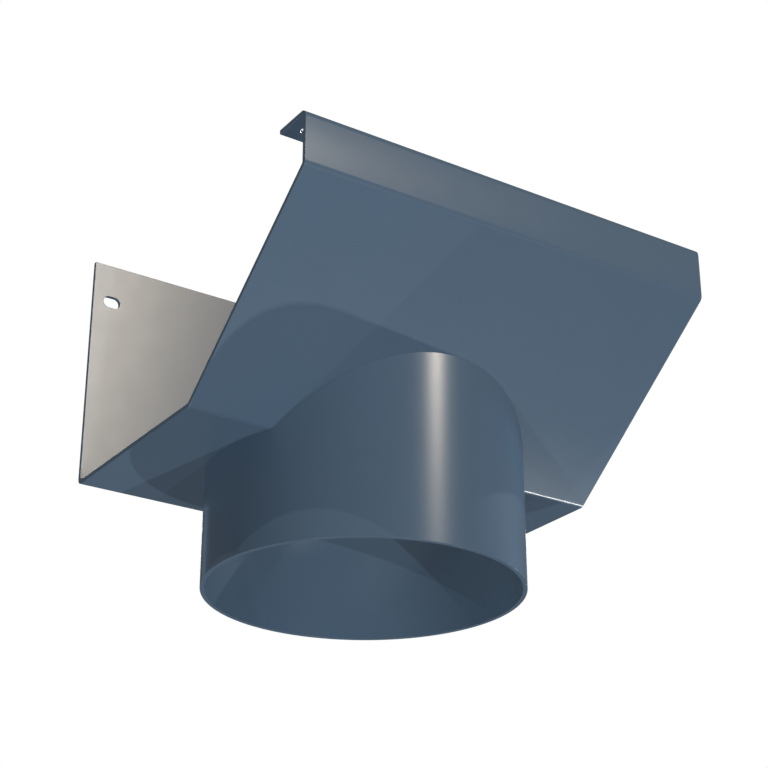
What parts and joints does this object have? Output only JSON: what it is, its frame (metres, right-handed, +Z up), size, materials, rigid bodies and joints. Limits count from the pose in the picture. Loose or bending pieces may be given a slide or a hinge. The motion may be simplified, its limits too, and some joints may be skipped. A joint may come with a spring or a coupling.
{
  "type": "gutter outlet",
  "caption": "Short folded sheet gutter section with sloped front, return flange and slotted fixings, and a round downpipe spigot welded under its sole.",
  "frame": {"origin": "centre of the spigot's lower rim, on the spigot's axis", "axes": "+X along the gutter, +Y out of the back plate towards the wall, +Z up; the spigot points down -Z"},
  "size_m": [0.217, 0.203, 0.174],
  "materials": {
    "painted_sheet": "satin slate-blue coat over aluminium sheet"
  },
  "bodies": {
    "root": {"gutter_section": "painted_sheet", "outlet_spigot": "painted_sheet"}
  },
  "joints": []
}
